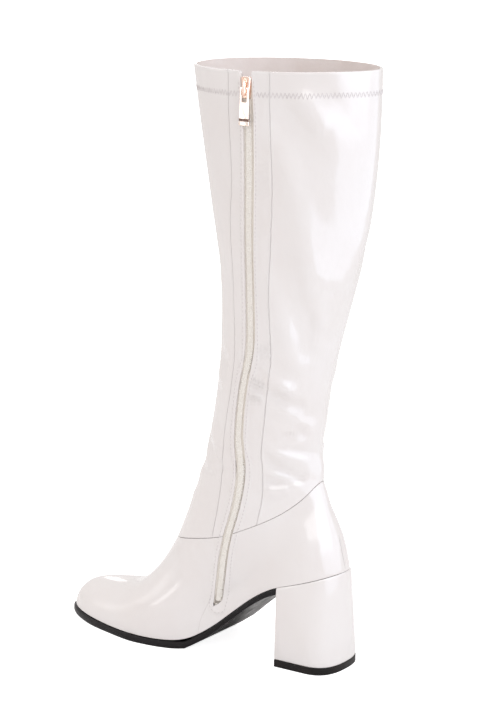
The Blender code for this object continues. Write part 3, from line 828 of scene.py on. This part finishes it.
def make_soles():
    """Outsole, covered heel, top lift and insole, smoother than the solids they stand for."""
    rows = (
        ("outsole", "outsole_rubber", make_plain("sole_rubber"), "sole_black", 0.7),
        ("heel", "heel_cover", make_patent("patent_heel", (), 0.1), "heel_cover", 0.9),
        ("top_lift", "top_lift_rubber", make_plain("lift_rubber"), "lift_black", 0.5),
        ("insole", "insole_sock", make_plain("insole_cloth"), "board", 0.6),
    )
    for node, name, material, slot, width in rows:
        piece = copy_of(node, name)
        round_edges(piece, width, 3)
        smooth_all(piece, 40)
        finish_piece(piece, material, nodes=(node,))


def make_twill():
    """Woven tape: fine diagonal ribs crossed by the weft."""
    material, tree, shader = new_material("tape_twill", TAPE_CREAM, 0.8)
    coordinates = tree.nodes.new("ShaderNodeTexCoord")
    heights = []
    for turn, scale in ((35.0, 900.0), (90.0, 1500.0)):
        mapping = tree.nodes.new("ShaderNodeMapping")
        mapping.inputs["Rotation"].default_value = (math.radians(turn), 0, 0)
        wave = tree.nodes.new("ShaderNodeTexWave")
        wave.bands_direction = "Y"
        wave.inputs["Scale"].default_value = scale / 6.3
        wave.inputs["Distortion"].default_value = 0.6
        tree.links.new(coordinates.outputs["Object"], mapping.inputs["Vector"])
        tree.links.new(mapping.outputs["Vector"], wave.inputs["Vector"])
        heights.append(wave.outputs["Fac"])
    weave = value_node(tree, "MULTIPLY", heights[0], heights[1])
    tree.links.new(mix_color(tree, weave, TAPE_SHADE, TAPE_CREAM), shader.inputs["Base Color"])
    tree.links.new(fade(tree, noise(tree, 400.0), 0.3, 0.7, 0.7, 0.9), shader.inputs["Roughness"])
    bump(tree, shader, value_node(tree, "MULTIPLY", weave, 0.18))
    return material


def make_tape_face(line, beside, out, twill):
    """The tape that shows beside the coil, as one woven ribbon in the slot."""
    across = np.array([-1.0, -0.5, 0.0, 0.5, 1.0, 1.0, -1.0]) * (SLOT_HALF_WIDTH - FACE_CLEARANCE)
    depth = np.array([FACE_DEPTH] * 5 + [TAPE_DEPTH] * 2)
    rows = line[:, None] + (beside[:, None] * across[:, None] - out[:, None] * depth[:, None]) * MM
    count, columns = len(line), len(across)
    faces = [
        (row * columns + column, row * columns + (column + 1) % columns,
         (row + 1) * columns + (column + 1) % columns, (row + 1) * columns + column)
        for row in range(count - 1) for column in range(columns)
    ]
    faces += [tuple(range(columns))[::-1], tuple((count - 1) * columns + column for column in range(columns))]
    mesh = bpy.data.meshes.new("tape_face")
    mesh.from_pydata([tuple(spot) for spot in rows.reshape(-1, 3)], [], faces)
    ribbon = add_object("tape_face", mesh)
    pick(ribbon)
    bpy.ops.object.mode_set(mode="EDIT")
    bpy.ops.mesh.select_all(action="SELECT")
    bpy.ops.mesh.normals_make_consistent(inside=False)
    bpy.ops.object.mode_set(mode="OBJECT")
    smooth_all(ribbon, 40)
    finish_piece(ribbon, twill)


def make_coil(line, along, beside, out):
    """The coil's turns: short bars that reach in from one side and the other by turns."""
    nylon = make_plain("coil_nylon")
    tooth = model_block("coil_turn", TOOTH_SIZE, TOOTH_EDGE)
    lengths = lengths_along(line)
    at = np.arange(COIL_TOP_DROP * MM, lengths[-1] - COIL_END_GAP * MM, TOOTH_PITCH * MM / 2)
    which = np.searchsorted(lengths, at)
    sides = np.where(np.arange(len(at)) % 2 == 0, 1.0, -1.0)[:, None]
    middles = line[which] + beside[which] * sides * TOOTH_OFF * MM - out[which] * COIL_DEPTH * MM
    turns = copies(tooth, "zip_coil_turns", middles, along[which], beside[which], out[which])
    smooth_all(turns, 50)
    finish_piece(turns, nylon)
    return nylon


def make_stop(line, along, beside, out, metal):
    """The clamp that ends the zip at its lower end."""
    clamp = model_block("stop_clamp", STOP_SIZE, STOP_EDGE, 3)
    row = slice(len(line) - STOP_FROM_END, len(line) - STOP_FROM_END + 1)
    middle = line[row] - out[row] * STOP_DEPTH * MM
    stop = copies(clamp, "zip_stop", middle, along[row], beside[row], out[row])
    smooth_all(stop, 50)
    finish_piece(stop, metal)


def make_slider(metal):
    """Slider body and bail with rounded edges, the body drawn in towards its foot."""
    slider = copy_of("zip_slider", "slider_and_bail")
    round_edges(slider, 0.45, 4)
    spots = corners(slider)
    low, high = spots.min(0), spots.max(0)
    body = spots[:, 0] < low[0] + SLIDER_BODY_DEPTH * MM
    drop = ease((high[2] - spots[:, 2]) / (high[2] - low[2]))
    middle = (low[1] + high[1]) / 2
    spots[body, 1] = middle + (spots[body, 1] - middle) * (1.0 - SLIDER_NARROWING * drop[body])
    set_corners(slider, spots)
    smooth_all(slider, 40)
    finish_piece(slider, metal, nodes=("zip_slider",))


def make_pull(metal):
    """The pull tab: a polished plate with a long hole, a groove darkened with painted shade and patina, and a
    rolled foot.
    """
    pull = copy_of("zip_pull", "pull_tab")
    round_edges(pull, 0.4, 4)
    spots = corners(pull)
    low, high = spots.min(0), spots.max(0)
    across, ahead = (low[0] + high[0]) / 2, (low[1] + high[1]) / 2
    smooth_all(pull, 40)
    finish_piece(pull, metal, "pull", nodes=("zip_pull",))
    rows = (
        ("pull_foot", PULL_FOOT_SIZE, PULL_FOOT_EDGE, 4, PULL_FOOT_RISE, metal, "pull_metal"),
        # The groove's dark band is painted shade and patina.
        ("pull_groove", GROOVE_SIZE, GROOVE_EDGE, 2, GROOVE_RISE, make_plain("groove_shade_and_patina"), None),
    )
    for name, size, edge, segments, rise, material, slot in rows:
        block = model_block(name, size, edge, segments)
        set_corners(block, corners(block) + np.array([across, ahead, low[2] + rise * MM]))
        smooth_all(block, 40)
        finish_piece(block, material, "pull")


def make_threads(tree):
    """The sewing that shows: round the zip's slot and round the collar."""
    thread = make_plain("sewing_thread")
    make_slot_stitches(tree, thread)
    make_hem(tree, thread)


def make_zip():
    """Tape, coil, slider, pull tab and lower stop."""
    line, along, beside, out = zip_course()
    nylon = make_coil(line, along, beside, out)
    twill = make_twill()
    make_tape_face(line, beside, out, twill)
    for node, material in (("zip_tape", twill), ("zip_coil", nylon)):
        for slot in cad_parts[node].material_slots:
            slot.material = material
    make_stop(line, along, beside, out, make_plain("stop_metal"))
    make_slider(make_plain("rose_gold"))
    make_pull(make_plain("pale_gold"))


def make_slot_stitches(tree, thread):
    """One row of stitches down both sides of the zip and round its lower end."""
    line, along, beside, out = zip_course()
    turn = np.linspace(0.0, math.pi, 40)[:, None]
    round_end = line[-1] + (beside[-1] * np.cos(turn) + along[-1] * np.sin(turn)) * STITCH_OFF * MM
    left = line + beside * STITCH_OFF * MM
    right = line - beside * STITCH_OFF * MM
    path = even_steps(snapped(tree, np.concatenate([left, round_end[1:-1], right[::-1]])), STITCH_PITCH)
    path = path[path[:, 2] < (COLLAR_FRONT[1] - STITCH_FROM_COLLAR) * MM]
    along, beside, out = frames_on(tree, path)
    stretch = np.full(len(path), STITCH_LENGTH)
    row = copies(model_stitch(), "slot_stitches", path, along, beside, out, stretch)
    smooth_all(row)
    finish_piece(row, thread)


def hem_line(tree):
    """A line on the leather that keeps the same distance below the sloping collar."""
    line = []
    start = place(0.0, COLLAR_MIDDLE, COLLAR_FRONT[1] - HEM_DROP)
    for turn in np.linspace(0.0, 2.0 * math.pi, HEM_LOOKS):
        way = Vector((math.cos(turn), math.sin(turn), 0.0))
        spot = tree.ray_cast(start, way)[0]
        if spot is not None:
            ahead = HEEL_BACK - spot.y / MM
            share = (ahead - COLLAR_BACK[0]) / (COLLAR_FRONT[0] - COLLAR_BACK[0])
            height = COLLAR_BACK[1] + (COLLAR_FRONT[1] - COLLAR_BACK[1]) * share - HEM_DROP
            line.append(tree.find_nearest(Vector((spot.x, spot.y, height * MM)))[0])
    return np.array(line)


def make_hem(tree, thread):
    """A zigzag of thread round the collar, broken at the zip."""
    zip_line = zip_course()[0]
    turns = even_steps(hem_line(tree), ZIGZAG_PITCH / 2)
    turns[:, 2] += np.where(np.arange(len(turns)) % 2 == 0, 0.5, -0.5) * ZIGZAG_WIDTH * MM
    turns = snapped(tree, turns)
    first, second = turns[:-1], turns[1:]
    middles, lengths = (first + second) / 2, np.linalg.norm(second - first, axis=1)
    from_zip = np.linalg.norm(middles[:, None] - zip_line[None], axis=2).min(1)
    keep = (from_zip > (STITCH_OFF + ZIGZAG_FROM_SLOT) * MM) & (lengths < 2 * ZIGZAG_WIDTH * MM)
    middles = snapped(tree, middles[keep])
    out = np.array([tree.find_nearest(Vector(spot))[1] for spot in middles])
    along = (second - first)[keep]
    along = unit(along - out * np.sum(out * along, axis=1)[:, None])
    stretch = lengths[keep] / MM + ZIGZAG_OVERLAP
    row = copies(model_stitch(), "hem_zigzag", middles, along, np.cross(out, along), out, stretch)
    smooth_all(row)
    finish_piece(row, thread)


# The studio: paper and room are bright for the camera, and the room lights the boot a little less.
PAPER_TONE = (0.92, 0.915, 0.91)
PAPER_GLOW = 0.85
FLOOR_SIDE = 24.0
ROOM_TONE = (1.0, 0.965, 0.955)
ROOM_GLOW = 0.86
BACKDROP_TONE = (1.0, 1.0, 1.0)
BACKDROP_GLOW = 1.1

# Softboxes, in metres: name, place, aim, size, power, colour, share of a side that fades out, turn.
# A card is a softbox with a turn, in degrees: it only shows in the gloss.
SOFTBOXES = (
    ("back_wash", (0.2, 0.9, 0.6), (0, 0.05, 0.3), (1.0, 1.0), 3.6, (0.78, 0.88, 1.0), 0.2, None),
    ("front_wash", (0.5, -1.1, 0.6), (0, 0, 0.2), (0.7, 1.0), 1.2, (1.0, 0.95, 0.93), 0.25, None),
    ("top_wash", (0.2, 0.1, 1.7), (0, 0, 0.2), (1.0, 1.0), 7.0, (1.0, 0.99, 0.98), 0.25, None),
    ("back_card", (-0.02, 0.50, 0.40), (0, 0.06, 0.3), (0.95, 0.9), 3.2, (0.72, 0.82, 1.0), 0.08, 18.0),
    ("high_card", (0.78, 0.68, 0.74), (0, 0.02, 0.22), (1.2, 0.5), 3.0, (0.97, 0.98, 1.0), 0.15, 0.0),
    ("far_card", (-1.1, -0.8, 0.42), (0, 0, 0.15), (0.5, 0.3), 1.1, (1.0, 0.99, 0.98), 0.15, 0.0),
    ("side_card", (0.85, -0.5, 0.32), (0, 0, 0.3), (0.22, 0.7), 0.7, (1.0, 0.98, 0.97), 0.2, 0.0),
)

# The camera: place and aim across, ahead and up in millimetres, its roll in degrees and its lens.
CAMERA_PLACE = (1542.9, -922.1, 653.3)
CAMERA_AIM = (12.7, 80.0, 224.2)
CAMERA_ROLL = 1.0
CAMERA_LENS = 87.6
SENSOR_HEIGHT = 24.0


def make_stage():
    """A plain pale floor, wide enough to reach the horizon."""
    bpy.ops.mesh.primitive_plane_add(size=1.0, location=(0, 0, 0))
    floor = bpy.context.active_object
    floor.name = "studio_floor"
    floor.scale = (FLOOR_SIDE, FLOOR_SIDE, 1.0)
    pick(floor)
    bpy.ops.object.transform_apply(location=False, rotation=False, scale=True)
    material, tree, shader = new_material("studio_paper", PAPER_TONE, 0.9)
    view = tree.nodes.new("ShaderNodeLightPath").outputs["Is Camera Ray"]
    shader.inputs["Emission Color"].default_value = (1.0, 1.0, 1.0, 1.0)
    tree.links.new(value_node(tree, "MULTIPLY", view, PAPER_GLOW), shader.inputs["Emission Strength"])
    floor.data.materials.append(material)


def soften_lamp(data, rim):
    """Let a softbox fade out towards its rim."""
    data.use_nodes = True
    tree = data.node_tree
    glow = next(node for node in tree.nodes if node.type == "EMISSION")
    split = tree.nodes.new("ShaderNodeSeparateXYZ")
    tree.links.new(tree.nodes.new("ShaderNodeNewGeometry").outputs["Parametric"], split.inputs[0])
    strength = None
    for axis in ("X", "Y"):
        off = value_node(tree, "ABSOLUTE", value_node(tree, "SUBTRACT", split.outputs[axis], 0.5))
        edge = fade(tree, off, 0.5 - rim, 0.5, 1.0, 0.0)
        strength = edge if strength is None else value_node(tree, "MULTIPLY", strength, edge)
    tree.links.new(strength, glow.inputs["Strength"])


def add_softbox(name, location, aim, size, power, color, rim, turn):
    """A softbox, or a card that only shows in the gloss and is turned about its own middle."""
    data = bpy.data.lights.new(name, "AREA")
    data.shape = "RECTANGLE"
    data.size, data.size_y = size
    data.energy = power
    data.color = color
    lamp = add_object(name, data)
    lamp.location = location
    facing = (Vector(aim) - Vector(location)).to_track_quat("-Z", "Y")
    lamp.rotation_euler = (facing @ Quaternion((0, 0, 1), math.radians(turn or 0.0))).to_euler()
    lamp.visible_camera = False
    lamp.visible_diffuse = turn is None
    soften_lamp(data, rim)


def make_lights():
    """A bright even room and the softboxes."""
    world = bpy.data.worlds.new("studio")
    bpy.context.scene.world = world
    world.use_nodes = True
    background = world.node_tree.nodes["Background"]
    tree = world.node_tree
    view = tree.nodes.new("ShaderNodeLightPath").outputs["Is Camera Ray"]
    tree.links.new(mix_color(tree, view, ROOM_TONE, BACKDROP_TONE), background.inputs["Color"])
    tree.links.new(fade(tree, view, 0.0, 1.0, ROOM_GLOW, BACKDROP_GLOW), background.inputs["Strength"])
    for softbox in SOFTBOXES:
        add_softbox(*softbox)


def make_camera():
    """The photograph's view: from the inner side, a little behind and above."""
    location = place(*CAMERA_PLACE)
    aim = place(*CAMERA_AIM)
    roll = math.radians(CAMERA_ROLL)
    forward = (aim - location).normalized()
    right = forward.cross(Vector((0, 0, 1))).normalized()
    up = right.cross(forward)
    turned_right = right * math.cos(roll) + up * math.sin(roll)
    turned_up = up * math.cos(roll) - right * math.sin(roll)
    data = bpy.data.cameras.new("photo_camera")
    data.sensor_fit = "VERTICAL"
    data.sensor_height = SENSOR_HEIGHT
    data.lens = CAMERA_LENS
    camera = add_object("photo_camera", data)
    camera.matrix_world = Matrix((
        (turned_right.x, turned_up.x, -forward.x, location.x),
        (turned_right.y, turned_up.y, -forward.y, location.y),
        (turned_right.z, turned_up.z, -forward.z, location.z),
        (0, 0, 0, 1),
    ))
    bpy.context.scene.camera = camera


make_camera()
make_stage()
make_lights()
bpy.context.scene.view_settings.view_transform = "Standard"
skin_tree = make_skins()
make_linings()
make_soles()
make_zip()
make_threads(skin_tree)
